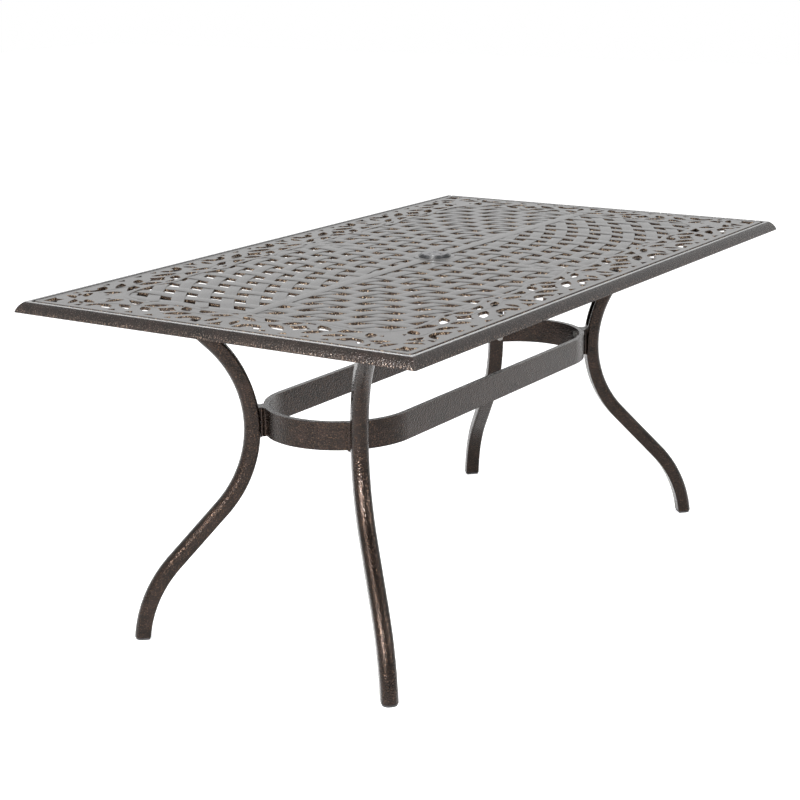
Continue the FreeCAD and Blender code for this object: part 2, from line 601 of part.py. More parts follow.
def build_leg(corner):
    body = new_body("leg_" + corner, corner)
    path = leg_path(body, "leg_path_" + corner)
    outer, inner = "foot_reach + leg_depth / 2", "foot_reach - leg_depth / 2"
    half = "leg_width / 2"
    low, high = (inner, f"-{half}"), (outer, half)
    radii = ["leg_round", "leg_round", "leg_edge", "leg_edge"]
    section = rounded_outline(body, "leg_section_" + corner, "XY_Plane", "glide_thick", low, high, radii)
    doc.recompute()
    shank = pipe(body, "AdditivePipe", section, path)
    shank.Mode = "Binormal"
    shank.Binormal = FreeCAD.Vector(0, 1, 0)

    above = "(pocket_foot - waist_height)"
    middle = f"(ARCH_CENTRE - sqrt(arch_radius * arch_radius - {above} * {above}))"
    back, front = f"{middle} - leg_depth / 2 - 4", f"{middle} - leg_depth / 2 + pocket_depth"
    wide = "pocket_width / 2"
    slot = polygon(body, "pocket_section_" + corner, "XY_Plane", "pocket_foot",
                   [(back, f"-{wide}"), (front, f"-{wide}"), (front, wide), (back, wide)])
    line = pocket_path(body, "pocket_path_" + corner)
    doc.recompute()
    hollow = pipe(body, "SubtractivePipe", slot, line)
    hollow.Mode = "Binormal"
    hollow.Binormal = FreeCAD.Vector(0, 1, 0)
    round_end = circle(body, "pocket_end_" + corner, "YZ_Plane", back, 0, "pocket_foot", wide)
    pocket(body, round_end, "pocket_depth + 4", True)
    for step in (-1, 1):
        hole = circle(body, f"leg_hole_{corner}_{step + 1}", "YZ_Plane", "WAIST_FACE - 5", 0,
                      f"BAND_MIDDLE + {step} * bolt_gap", "bolt_radius + 0.05")
        pocket(body, hole, "leg_depth - 3", True)
    stem = circle(body, "stem_hole_" + corner, "XY_Plane", "glide_thick", "foot_reach", 0, "glide_pin + 0.02")
    pocket(body, stem, "glide_pin_length + 1", True)
    end = circle(body, "leg_end_" + corner, "XY_Plane", "LEG_TOP", "TOP_REACH", 0, "leg_width * 3")
    pocket(body, end, "100", True)

    glide = new_body("glide_" + corner, corner)
    inset = "glide_inset"
    low, high = (f"{inner} + {inset}", f"{inset} - {half}"), (f"{outer} - {inset}", f"{half} - {inset}")
    radii = [f"leg_round - {inset}"] * 2 + [f"leg_edge - {inset}"] * 2
    pad(glide, rounded_outline(glide, "sole_" + corner, "XY_Plane", 0, low, high, radii), "glide_thick")
    pin = circle(glide, "glide_pin_" + corner, "XY_Plane", "glide_thick - 1", "foot_reach", 0, "glide_pin")
    pad(glide, pin, "glide_pin_length + 1")

    spacer = new_body("spacer_" + corner, corner)
    near, far = "band_half_width - 3", "WAIST_FACE + 6"
    low, high = "band_low", "(band_low + band_height)"
    side = [(near, low), (far, f"{low} - spacer_flare"), (far, f"{high} + spacer_rise"), (near, high)]
    pad(spacer, polygon(spacer, "spacer_side_" + corner, "XZ_Plane", "-spacer_width / 2", side), "spacer_width")
    for way in (-1, 1):
        flank = [("band_half_width + 1.5", f"{way} * spacer_width / 2"),
                 ("(band_half_width + WAIST_FACE) / 2 + 1", f"{way} * spacer_neck / 2"),
                 ("WAIST_FACE - 1", f"{way} * spacer_neck / 2"), ("WAIST_FACE + 1", f"{way} * (leg_width / 2 - 1)"),
                 (far + " + 1", f"{way} * (leg_width / 2 - 1)"), (far + " + 1", f"{way} * (spacer_width / 2 + 1)"),
                 ("band_half_width + 1.5", f"{way} * (spacer_width / 2 + 1)")]
        scoop = polygon(spacer, f"spacer_scoop_{corner}_{way + 1}", "XY_Plane", "band_low - 20", flank)
        pocket(spacer, scoop, "band_height + 60", True)
    seat = circle(spacer, "spacer_seat_" + corner, "XY_Plane", "band_low - 20", 0, 0, "band_half_width")
    pocket(spacer, seat, "band_height + 60", True)
    shoulder = circle(spacer, "spacer_shoulder_" + corner, "XZ_Plane", "-spacer_width", "ARCH_CENTRE",
                      "waist_height", "arch_radius + leg_depth / 2 + spacer_clearance")
    pocket(spacer, shoulder, "2 * spacer_width", True)
    for step in (-1, 1):
        hole = circle(spacer, f"spacer_hole_{corner}_{step + 1}", "YZ_Plane", "BAND_INNER", 0,
                      f"BAND_MIDDLE + {step} * bolt_gap", "bolt_radius + hole_clearance")
        pocket(spacer, hole, "100", True)


def build_leg_plates():
    for corner, (side_x, side_y, angle) in CORNERS.items():
        centre_x, centre_y = f"{side_x} * LEG_TOP_X", f"{side_y} * LEG_TOP_Y"
        blank = box("plate_blank_" + corner, f"{centre_x} - bar_width / 2", f"{centre_y} - plate_length / 2",
                    "LEG_TOP", "bar_width", "plate_length", "plate_thick")
        holes = [cylinder(f"plate_hole_{corner}_{step + 1}", centre_x, f"{centre_y} + {step} * leg_bolt_offset",
                          "LEG_TOP - 1", "bolt_radius + hole_clearance", "plate_thick + 2") for step in (-1, 1)]
        tool = joined("Part::Compound", "plate_holes_" + corner, holes)
        node(cut("plate_" + corner, blank, tool), "leg_plate_" + corner)


# Stretcher band: a stadium of flat section, split on opposite sides into two halves.
def stadium(name, radius, foot, height):
    ends = [cylinder(f"{name}_end_{side + 1}", f"{side} * arc_centre", 0, foot, radius, height) for side in (-1, 1)]
    middle = box(name + "_middle", "-arc_centre", f"-({radius})", foot, "2 * arc_centre", f"2 * ({radius})", height)
    return fuse(name, middle, *ends)


def build_band():
    outer = stadium("band_outer", "band_half_width", "band_low", "band_height")
    inner = stadium("band_inner", "BAND_INNER", "band_low - 1", "band_height + 2")
    tools = [inner]
    for corner, (side_x, side_y, angle) in CORNERS.items():
        start = (f"{side_x} * (arc_centre + (BAND_INNER - 5) * cos(leg_turn))",
                 f"{side_y} * (BAND_INNER - 5) * sin(leg_turn)")
        for step in (-1, 1):
            tools.append(cylinder(f"band_hole_{corner}_{step + 1}", *start, f"BAND_MIDDLE + {step} * bolt_gap",
                                  "bolt_radius + hole_clearance", "band_thick + 10", towards(corner)))
    for side in (-1, 1):
        middle = f"{side} * (band_half_width - band_thick / 2)"
        thick, length = "(tongue_thick + 0.2)", "(tongue_length + 0.4)"
        tools.append(box(f"tongue_slot_{side + 1}", f"{-side} * seam_offset - {length} / 2",
                         f"{middle} - {thick} / 2", "BAND_MIDDLE - tongue_height / 2 - 0.1", length, thick,
                         "tongue_height + 0.2"))
        node(box(f"tongue_{side + 1}", f"{-side} * seam_offset - tongue_length / 2",
                 f"{middle} - tongue_thick / 2", "BAND_MIDDLE - tongue_height / 2", "tongue_length",
                 "tongue_thick", "tongue_height"), "joiner_far" if side > 0 else "joiner_near")
    band = cut("band", outer, joined("Part::Compound", "band_tools", tools))
    reach = "(arc_centre + band_half_width + 5)"
    for label, side in (("left", -1), ("right", 1)):
        parts = []
        for half in (-1, 1):
            edge = f"(seam_offset * {side * half} - seam_gap / 2)"
            start = f"-{reach}" if side < 0 else f"-{edge}"
            y = "-band_half_width - 5" if half < 0 else "0"
            parts.append(box(f"half_{label}_{half + 1}", start, y, "band_low - 1",
                             f"{reach} + {edge}", "band_half_width + 5", "band_height + 2"))
        region = fuse("half_" + label, *parts)
        node(common("band_" + label, band, region), f"stretcher_{label}_half")


# Fasteners.
def bolt(name, x, y, z, turn, way, length):
    """Hexagon head behind the start point, shank ahead of it along the turned axis."""
    back = [f"{text} - ({part}) * bolt_head_high" for text, part in zip((x, y, z), way)]
    head = hexagon(name + "_head", *back, "bolt_head", "bolt_head_high", turn)
    shank = cylinder(name + "_shank", x, y, z, "bolt_radius", length, turn)
    return fuse(name, head, shank)


def washer(name, x, y, z, turn, way):
    back = [f"{text} - ({part}) * washer_thick" for text, part in zip((x, y, z), way)]
    disc = cylinder(name + "_disc", *back, "washer_radius", "washer_thick", turn)
    wider = [f"{text} - ({part}) * 2 * washer_thick" for text, part in zip((x, y, z), way)]
    hole = cylinder(name + "_hole", *wider, "bolt_radius + hole_clearance", "3 * washer_thick", turn)
    return cut(name, disc, hole)


def build_fasteners():
    bolts, washers, leg_bolts, leg_washers = [], [], [], []
    for corner, (side_x, side_y, angle) in CORNERS.items():
        turn = towards(corner)
        way = (f"{side_x} * cos(leg_turn)", f"{side_y} * sin(leg_turn)", "0")
        for step in (-1, 1):
            tag = f"{corner}_{step + 1}"
            height = f"BAND_MIDDLE + {step} * bolt_gap"
            seat = [f"{side_x} * (arc_centre + WASHER_SEAT * cos(leg_turn))",
                    f"{side_y} * WASHER_SEAT * sin(leg_turn)", height]
            washers.append(washer("washer_" + tag, *seat, turn, way))
            start = [f"{text} - ({part}) * washer_thick" for text, part in zip(seat, way)]
            bolts.append(bolt("bolt_" + tag, *start, turn, way, "bolt_grip"))
            seat = [f"{side_x} * LEG_TOP_X", f"{side_y} * LEG_TOP_Y + {step} * leg_bolt_offset", "LEG_TOP"]
            leg_washers.append(washer("leg_washer_" + tag, *seat, None, ("0", "0", "1")))
            start = seat[:2] + ["LEG_TOP - washer_thick"]
            leg_bolts.append(bolt("leg_bolt_" + tag, *start, None, ("0", "0", "1"),
                                  "washer_thick + plate_thick + bar_thick - 3"))
    node(joined("Part::Compound", "all_bolts", bolts), "stretcher_bolts")
    node(joined("Part::Compound", "all_washers", washers), "stretcher_washers")
    node(joined("Part::Compound", "all_leg_bolts", leg_bolts), "leg_bolts")
    node(joined("Part::Compound", "all_leg_washers", leg_washers), "leg_washers")
    for label, places in (("rim_screws", RIM_SCREWS), ("panel_screws", PANEL_SCREWS)):
        screws = []
        for i, (x, y) in enumerate(places):
            thick = "ledge_thick" if label == "rim_screws" else under_thickness(x)
            head = cylinder(f"{label}_head_{i}", x, y, f"PANEL_FOOT - {thick} - screw_head_high", "screw_head",
                            "screw_head_high")
            shank = cylinder(f"{label}_shank_{i}", x, y, f"PANEL_FOOT - {thick}", "screw_radius",
                             f"{thick} + panel_thick * 0.7")
            screws.append(fuse(f"{label}_{i}", head, shank))
        node(joined("Part::Compound", "all_" + label, screws), label)


# Umbrella fitting: flanged sleeve, ring nut below, and a lift-out cap.
def build_umbrella_fitting():
    flange = cylinder("flange", 0, 0, "HUB_TOP", "flange_radius", "flange_thick")
    step = cylinder("flange_step", 0, 0, "HUB_TOP", "step_radius", "flange_thick + step_high")
    sleeve = cylinder("sleeve", 0, 0, "sleeve_foot", "sleeve_radius", "HUB_TOP - sleeve_foot + flange_thick")
    bore = cylinder("sleeve_bore", 0, 0, "sleeve_foot - 1", "bore_radius", "100")
    socket = cylinder("cap_socket", 0, 0, "HUB_TOP + flange_thick - cap_skirt - 2", "cap_bore", "100")
    seat = cylinder("cap_seat", 0, 0, "HUB_TOP + flange_thick", "seat_radius", "step_high + 1")
    hollow = fuse("ring_hollow", bore, socket, seat)
    node(cut("ring", fuse("ring_solid", flange, step, sleeve), hollow), "umbrella_ring")
    nut_foot = "PANEL_FOOT - centre_bar_thick - nut_thick"
    nut = doc.addObject("Part::Prism", "nut_solid")
    nut.Polygon = 8
    place(bind(nut, Circumradius="nut_radius", Height="nut_thick"), 0, 0, nut_foot)
    thread = cylinder("nut_thread", 0, 0, f"{nut_foot} - 1", "sleeve_radius + thread_clearance", "nut_thick + 2")
    node(cut("nut", nut, thread), "umbrella_nut")
    rest = "HUB_TOP + flange_thick + cap_clearance"
    disc = cylinder("cap_disc", 0, 0, rest, "seat_radius - cap_clearance", "cap_thick")
    skirt = cylinder("cap_skirt_solid", 0, 0, f"{rest} - cap_skirt", "cap_bore - cap_clearance", "cap_skirt + 1")
    inside = cylinder("cap_inside", 0, 0, f"{rest} - cap_skirt - 1", "cap_bore - cap_clearance - cap_wall",
                      "cap_skirt + 1")
    nubs = [cylinder(f"cap_nub_{i}", f"14 * cos({angle})", f"14 * sin({angle})", f"{rest} + cap_thick - 1", 3, 2.2)
            for i, angle in enumerate((30, 150, 270))]
    node(cut("cap", fuse("cap_solid", disc, skirt, *nubs), inside), "umbrella_cap")


build_rim()
build_bars()
for corner_name in CORNERS:
    build_leg(corner_name)
build_leg_plates()
build_band()
build_fasteners()
build_umbrella_fitting()
build_panels()
doc.recompute()

for thing in doc.Objects:
    if "Invalid" in thing.State or "Error" in thing.State:
        raise RuntimeError(f"{thing.Name} did not compute: {thing.State}")
    if hasattr(thing, "Shape") and thing.TypeId != "Sketcher::SketchObject":
        if thing.Shape.isNull() or not thing.Shape.isValid():
            raise RuntimeError(f"{thing.Name} has no valid shape")

os.makedirs("parts", exist_ok=True)
for label in nodes:
    piece = doc.getObjectsByLabel(label)[0]
    piece.Shape.exportStep(f"parts/{label}.step")
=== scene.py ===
import json
import math
from functools import partial

import bpy
from mathutils import Matrix, Vector


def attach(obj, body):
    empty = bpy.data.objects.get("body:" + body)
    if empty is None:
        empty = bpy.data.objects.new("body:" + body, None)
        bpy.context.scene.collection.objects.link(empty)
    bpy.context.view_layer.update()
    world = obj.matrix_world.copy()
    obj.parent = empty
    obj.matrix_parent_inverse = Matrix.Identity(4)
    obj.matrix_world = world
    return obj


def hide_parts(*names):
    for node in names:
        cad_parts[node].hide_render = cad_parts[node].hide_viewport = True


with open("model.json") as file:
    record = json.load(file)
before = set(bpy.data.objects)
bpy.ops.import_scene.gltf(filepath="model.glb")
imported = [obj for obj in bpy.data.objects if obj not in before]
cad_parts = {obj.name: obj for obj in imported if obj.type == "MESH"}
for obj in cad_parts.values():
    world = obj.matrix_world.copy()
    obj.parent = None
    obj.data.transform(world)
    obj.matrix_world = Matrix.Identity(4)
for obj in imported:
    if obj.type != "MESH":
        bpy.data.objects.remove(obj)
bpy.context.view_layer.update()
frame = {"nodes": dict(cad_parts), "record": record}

# Sizes in millimetres, turned into metres where meshes are made.
MM = 0.001
# The two panels together: half their length and width, their top and underside at the edge, and how much higher
# they are in the middle.
HALF_X, HALF_Y = 786.0, 449.0
TOP, FOOT = 730.0, 723.5
CROWN = 2.5
# Upright strips of the weave: spacing and width. Past LEAN_START from the spine they lean to the middle, by LEAN
# less LEAN_STEP for each column outwards.
PITCH, STRIP = 50.75, 27.0
LEAN_START, LEAN_POWER = 150, 1.2
LEAN, LEAN_STEP = 33, 2
# Bowed strips: spacing, and how they bend towards the spine past BEND_START, which lies BEND_SPREAD further out per
# millimetre from the spine.
ROW, ROW_BEND = 53.5, 0.000815
FIRST_ROW, FIRST_ROW_WIDTH = 50.4, 33.0
BEND_START, BEND_SPREAD = 92, 0.21
COLUMNS, ROWS = 13, 12
# How far a strip's crest rises and falls about its mean. Width and half length of the spine; width, start, end and
# depth of the fans, which fill the weave's middle near the long sides.
WEAVE_RISE = 0.65
SPINE, SPINE_HALF = 29.0, 676
FAN, FAN_FROM, FAN_TO, FAN_DROP = 34.0, 212, 332, 0.8
# The weave's field: its rounded corners, its edge, how far strips run on under the border, and how they sink there.
FIELD_CORNER, FIELD_EDGE, OVERRUN = 62.0, 122, 8
SINK_WIDTH, SINK_DEPTH = 9, 0.5
# The border: its depth, the scallops of its inner edge, its corner blocks and half the length of a repeat.
BORDER_DEPTH = 118
SCALLOP_IN, SCALLOP_DEPTH = 128, 15
CORNER_SIZE, HALF_REPEAT = 131.0, 164.0
# Distances between points along strips, and along the spine and the fans.
STRIP_STEP, SPINE_STEP = 5.5, 8
# How far from the middle strips are drawn before they are cut to the field, and where bowed strips meet the spine.
UPRIGHT_REACH, BOWED_REACH, AT_SPINE = 340, 700, 2
# How far raised ribbons stand above the panel, and how far down their foot is.
RELIEF, RELIEF_FOOT = 0.15, 3
# The border's plate: gap to the panel's edge, corner radius, drop below TOP, thickness and bevel.
PLATE_GAP, PLATE_CORNER, PLATE_DROP, PLATE_THICK, PLATE_BEVEL = 3.2, 8.0, 0.2, 6.3, 0.4
# Raised ribbons: width of the winding ones; distance from the weave, corner radius and width of the inner frame;
# distance from the panel's edge, corner radius and width of the outer one.
WINDING = 3.2
INNER_GAP, INNER_CORNER, INNER_WIDTH = 7, 68.0, 10.0
OUTER_GAP, OUTER_CORNER, OUTER_WIDTH = 7.2, 6.0, 7.0


# Materials.
# The colour sockets of Blender's mix node, which share their names with its number sockets.
MIX_FIRST, MIX_SECOND, MIX_RESULT = 6, 7, 2


class Nodes:
    """The nodes of a material or of the world, while they are put together; shader is the main one's name."""

    def __init__(self, owner, shader):
        owner.use_nodes = True
        self.owner = owner
        self.tree = owner.node_tree
        self.shader = self.tree.nodes[shader]

    def add(self, kind, **settings):
        node = self.tree.nodes.new(kind)
        for key, value in settings.items():
            if key in node.inputs:
                node.inputs[key].default_value = value
            else:
                setattr(node, key, value)
        return node

    def link(self, source, target):
        self.tree.links.new(source, target)

    def place(self):
        return self.add("ShaderNodeTexCoord").outputs["Object"]

    def height_share(self, low, high, at_low, at_high):
        """A value that goes from at_low to at_high between two heights, in millimetres."""
        height = self.add("ShaderNodeSeparateXYZ")
        band = self.add("ShaderNodeMapRange")
        for socket, value in zip(("From Min", "From Max", "To Min", "To Max"),
                                 (low * MM, high * MM, at_low, at_high)):
            band.inputs[socket].default_value = value
        self.link(self.place(), height.inputs[0])
        self.link(height.outputs["Z"], band.inputs["Value"])
        return band.outputs[0]

    def mix(self, share, first, second):
        """Colour socket first, mixed with the plain colour second."""
        node = self.add("ShaderNodeMix", data_type="RGBA")
        self.link(share, node.inputs["Factor"])
        self.link(first, node.inputs[MIX_FIRST])
        node.inputs[MIX_SECOND].default_value = (*second, 1)
        return node.outputs[MIX_RESULT]

    def seen(self):
        """1 for rays from the camera and from glossy surfaces, else 0."""
        path = self.add("ShaderNodeLightPath")
        either = self.add("ShaderNodeMath", operation="MAXIMUM")
        self.link(path.outputs["Is Camera Ray"], either.inputs[0])
        self.link(path.outputs["Is Glossy Ray"], either.inputs[1])
        return either.outputs[0]

    def ramp(self, source, stops):
        ramp = self.add("ShaderNodeValToRGB")
        elements = ramp.color_ramp.elements
        while len(elements) < len(stops):
            elements.new(0.5)
        for element, (position, colour) in zip(elements, stops):
            element.position = position
            element.color = (*colour, 1)
        self.link(source, ramp.inputs["Fac"])
        return ramp.outputs["Color"]

    def roughness(self, source, low, high, level):
        """A little less and a little more than level between two values of source."""
        stops = [(low, grey(level - 0.05)), (high, grey(level + 0.08))]
        self.link(self.ramp(source, stops), self.shader.inputs["Roughness"])

    def noise(self, vector, scale, detail=3.0, roughness=0.6):
        node = self.add("ShaderNodeTexNoise", Scale=scale, Detail=detail, Roughness=roughness)
        self.link(vector, node.inputs["Vector"])
        return node.outputs["Fac"]

    def bump(self, height, strength, distance, before=None):
        node = self.add("ShaderNodeBump", Strength=strength, Distance=distance)
        self.link(height, node.inputs["Height"])
        if before:
            self.link(before, node.inputs["Normal"])
        return node.outputs["Normal"]


def grey(level):
    return (level, level, level)


def new_material(name):
    return Nodes(bpy.data.materials.new(name), "Principled BSDF")


def hammered_bronze(name, dark, mid, fleck, amount, roughness, hammer, level, metal=0.0, sparse=0.55,
                    coat=(0.0, 0.03), rim=False):
    """Brown powder coat with a fine hammered skin and coppery flecks; coat is a clear coat's weight and roughness."""
    n = new_material(name)
    where = n.place()
    broad = n.noise(where, scale=34.0)
    dimple = n.noise(where, scale=290.0, detail=1.0, roughness=0.5)
    speck = n.noise(where, scale=400.0, detail=1.5)
    base = n.ramp(broad, [(0.3, dark), (0.7, mid)])
    mask = n.ramp(speck, [(sparse, grey(0.0)), (sparse + 0.13, grey(amount))])
    if rim:
        # Painted sparkle: flecks thick at the rim's lower edge and thinning upwards stand in for the light it
        # reflects.
        share = n.add("ShaderNodeMath", operation="MULTIPLY")
        n.link(mask, share.inputs[0])
        n.link(n.height_share(TOP - 24.0, TOP - 10.0, 1.0, 0.12), share.inputs[1])
        mask = share.outputs[0]
    colour = n.mix(mask, base, fleck)
    if rim:
        # Painted highlight: the rim's top lip is painted light grey like the panel tops, the faces below stay dark.
        colour = n.mix(n.height_share(TOP - 1.0, TOP - 0.3, 0.0, 1.0), colour, grey(0.26))
    n.link(colour, n.shader.inputs["Base Color"])
    n.roughness(speck, 0.3, 0.7, roughness)
    n.shader.inputs["Specular IOR Level"].default_value = level
    n.shader.inputs["Metallic"].default_value = metal
    n.shader.inputs["Coat Weight"].default_value, n.shader.inputs["Coat Roughness"].default_value = coat
    swell = n.bump(broad, 0.2, distance=0.001)
    skin = n.bump(dimple, hammer, distance=0.0015, before=swell)
    n.link(skin, n.shader.inputs["Normal"])
    n.link(skin, n.shader.inputs["Coat Normal"])
    return n.owner


def moulded_plastic(name, colour, roughness):
    n = new_material(name)
    where = n.place()
    fine = n.noise(where, scale=900.0, detail=2.0)
    dark, light = (tuple(part * factor for part in colour) for factor in (0.85, 1.15))
    n.link(n.ramp(n.noise(where, scale=60.0), [(0.3, dark), (0.7, light)]), n.shader.inputs["Base Color"])
    n.roughness(fine, 0.2, 0.8, roughness)
    n.link(n.bump(fine, 0.2, distance=0.0002), n.shader.inputs["Normal"])
    return n.owner


def turned_steel(name):
    n = new_material(name)
    scratches = n.noise(n.place(), scale=700.0, detail=4.0, roughness=0.7)
    n.link(n.ramp(scratches, [(0.3, (0.15, 0.145, 0.14)), (0.7, (0.25, 0.245, 0.235))]),
           n.shader.inputs["Base Color"])
    n.link(n.ramp(scratches, [(0.3, grey(0.3)), (0.7, grey(0.45))]), n.shader.inputs["Roughness"])
    n.shader.inputs["Metallic"].default_value = 1.0
    return n.owner


COPPER = (0.34, 0.20, 0.12)
BROWN, LIGHT_BROWN = (0.005, 0.0032, 0.0022), (0.015, 0.009, 0.007)
BRONZE = hammered_bronze("hammered_bronze", BROWN, LIGHT_BROWN, COPPER, amount=0.13, roughness=0.2, hammer=0.7,
                         level=0.4, metal=0.9, coat=(0.2, 0.12))
# Rim copy: its cream flecks, thickest low down, are partly painted sparkle; its top lip is a painted highlight.
RIM_BRONZE = hammered_bronze("hammered_bronze_rim", BROWN, LIGHT_BROWN, (0.62, 0.43, 0.31), amount=0.28,
                             roughness=0.22, hammer=0.75, level=0.4, metal=0.45, coat=(0.14, 0.12), rim=True)
# Copy for the openings' walls: its thick cream flecks are partly real flecks, partly painted light falling in.
WALL_BRONZE = hammered_bronze("hammered_bronze_wall", (0.010, 0.006, 0.004), (0.022, 0.013, 0.009),
                              (0.62, 0.46, 0.32), amount=0.6, roughness=0.3, hammer=0.9, level=0.3, sparse=0.56)
# Lighter grey copy for faces that look up: a painted highlight for the light they catch.
TOP_BRONZE = hammered_bronze("hammered_bronze_top", (0.032, 0.031, 0.030), (0.048, 0.047, 0.046), COPPER,
                             amount=0.08, roughness=0.32, hammer=0.12, level=0.5, coat=(0.45, 0.25))
BLACK = moulded_plastic("black_glide", (0.012, 0.012, 0.012), 0.5)
DARK_GREY = moulded_plastic("dark_grey_plastic", (0.012, 0.012, 0.013), 0.32)
CAP_GREY = moulded_plastic("grey_cap", (0.08, 0.08, 0.085), 0.28)
STEEL = turned_steel("turned_steel")

SLOT_MATERIALS = {
    "hammered_bronze": BRONZE, "black_glide": BLACK, "dark_grey_plastic": DARK_GREY,
    "grey_cap": CAP_GREY, "steel": STEEL,
}
slots = {item["node"]: item["material_slot"] for item in frame["record"]["subparts"]}
for label, slot in slots.items():
    cad = frame["nodes"][label]
    cad.data.materials.clear()
    cad.data.materials.append(RIM_BRONZE if label.startswith("rim_rail") else SLOT_MATERIALS[slot])


# Meshes.
# Normal height above which a face takes the lighter top material, a painted highlight.
LOOKS_UP = 0.4


def crown(x, y):
    """The top rises a little towards the middle."""
    return CROWN * max(0.0, 1 - (x / HALF_X) ** 2) * max(0.0, 1 - (y / HALF_Y) ** 2)


def add_mesh(name, verts, faces):
    mesh = bpy.data.meshes.new(name)
    mesh.from_pydata([(x * MM, y * MM, z * MM) for x, y, z in verts], [], faces)
    mesh.update()
    return finish_piece(name, mesh)


def finish_piece(name, mesh, smooth_angle=35):
    """Lighter grey bronze on faces that look up, a painted highlight; dark brown bronze on the openings' walls."""
    mesh.polygons.foreach_set("use_smooth", [True] * len(mesh.polygons))
    mesh.set_sharp_from_angle(angle=math.radians(smooth_angle))
    mesh.materials.clear()
    mesh.materials.append(TOP_BRONZE)
    mesh.materials.append(WALL_BRONZE)
    # Painted light: faces that look up take the lighter material, all others the dark one.
    for polygon in mesh.polygons:
        polygon.material_index = 0 if polygon.normal.z > LOOKS_UP else 1
    piece = bpy.data.objects.new(name, mesh)
    bpy.context.scene.collection.objects.link(piece)
    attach(piece, "table")
    return piece


# Weave field.
def lean_share(y):
    """How much of its lean an upright strip has at this distance from the spine."""
    return max(0.0, (abs(y) - LEAN_START) / LEAN_START) ** LEAN_POWER


def strip_x(column, y):
    """Centre of an upright strip; strips lean to the middle near the long sides."""
    if column == 0:
        return 0.0
    return PITCH * column - (LEAN - LEAN_STEP * column) * lean_share(y)


def column_at(x, y):
    """Which upright strip lies at a point, as a number with a fraction."""
    share = lean_share(y)
    first = PITCH - (LEAN - LEAN_STEP) * share
    if abs(x) < first:
        return abs(x) / first
    return (abs(x) + LEAN * share) / (PITCH + LEAN_STEP * share)


def strip_y(row, x):
    """Centre of a bowed strip; beyond the middle it bends towards the spine."""
    middle = FIRST_ROW if row == 1 else ROW * row
    return middle - ROW_BEND * max(0.0, abs(x) - BEND_START - BEND_SPREAD * middle) ** 2


def row_at(x, y):
    """Which bowed strip lies at a point, as a number with a fraction, found by repeated correction."""
    depth = abs(y)
    for _ in range(12):
        depth = abs(y) + ROW_BEND * max(0.0, abs(x) - BEND_START - BEND_SPREAD * depth) ** 2
    return depth / ROW


def field_inset(along):
    """How far the weave's edge lies in from the panel's edge: scallops with points inwards."""
    return SCALLOP_IN - SCALLOP_DEPTH * abs(math.sin(math.pi * along / HALF_REPEAT))


def beyond_field(x, y):
    """Distance outside the weave field's rounded rectangle; negative inside."""
    half_x, half_y = HALF_X - FIELD_EDGE, HALF_Y - FIELD_EDGE
    dx, dy = abs(x) - half_x + FIELD_CORNER, abs(y) - half_y + FIELD_CORNER
    outside = math.hypot(max(dx, 0.0), max(dy, 0.0))
    return outside + min(max(dx, dy), 0.0) - FIELD_CORNER


def sink(x, y):
    """How far the strips have sunk where they run under the border's edge."""
    depth = min(1.0, max(0.0, (beyond_field(x, y) + SINK_WIDTH) / SINK_WIDTH))
    return SINK_DEPTH * depth * depth


# Cross sections of a strip and of a raised ribbon: (share of the half width, drop from the crest).
FLAT = [(-1.0, 0.9), (-0.975, 0.14), (-0.93, 0.0), (0.93, 0.0), (0.975, 0.14), (1.0, 0.9)]
BEAD = [(-1.0, 0.5), (-0.7, 0.08), (-0.3, 0.0), (0.3, 0.0), (0.7, 0.08), (1.0, 0.5)]


def ribbon(verts, faces, path, width, top, foot=FOOT, cross=FLAT, closed=False):
    """A cast strip along a path of points; top(x, y) gives its crest height."""
    count = len(path)
    start = len(verts)
    ring = len(cross) + 2
    for i, (x, y) in enumerate(path):
        x0, y0 = path[i - 1] if i or closed else path[0]
        x1, y1 = path[(i + 1) % count] if i < count - 1 or closed else path[-1]
        length = math.hypot(x1 - x0, y1 - y0) or 1.0
        nx, ny = -(y1 - y0) / length, (x1 - x0) / length
        crest = top(x, y)
        half = width / 2
        verts.append((x - nx * half, y - ny * half, foot + crown(x, y)))
        for side, drop in cross:
            verts.append((x + nx * side * half, y + ny * side * half, crest - drop))
        verts.append((x + nx * half, y + ny * half, foot + crown(x, y)))
    spans = count if closed else count - 1
    for i in range(spans):
        a, b = start + i * ring, start + (i + 1) % count * ring
        for k in range(ring):
            after = (k + 1) % ring
            faces.append((a + k, b + k, b + after, a + after))
    if not closed:
        faces.append(tuple(range(start, start + ring)))
        last = start + (count - 1) * ring
        faces.append(tuple(range(last + ring - 1, last - 1, -1)))


def runs(points):
    """Split a path into the stretches that lie in or just past the field."""
    out, run = [], []
    for x, y in points:
        if beyond_field(x, y) < OVERRUN:
            run.append((x, y))
        elif run:
            out.append(run)
            run = []
    if run:
        out.append(run)
    return [run for run in out if len(run) > 3]


def steps(low, high, step):
    """Evenly spaced values from low to high, at most one step apart."""
    count = max(2, int(math.ceil((high - low) / step)))
    return [low + (high - low) * i / count for i in range(count + 1)]


def woven(wave, x, y):
    """Crest height where the weave's wave has this value, from -1 under a strip to 1 over it."""
    return TOP - WEAVE_RISE + WEAVE_RISE * wave + crown(x, y) - sink(x, y)


def upright_top(x, y, column):
    """Crest of an upright strip; next to the spine it dips under it from both sides."""
    row = row_at(x, y)
    wave = math.cos(math.pi * (row + column))
    if row < 1:
        first = math.cos(math.pi * (1 + column))
        blend = row * row * (3 - 2 * row)
        wave = first * blend - (1 - blend)
    return woven(wave, x, y)


def bowed_top(x, y, row):
    return woven(-math.cos(math.pi * (column_at(x, y) + row)), x, y)


def field_top(x, y, rise):
    return TOP + rise + crown(x, y) - sink(x, y)


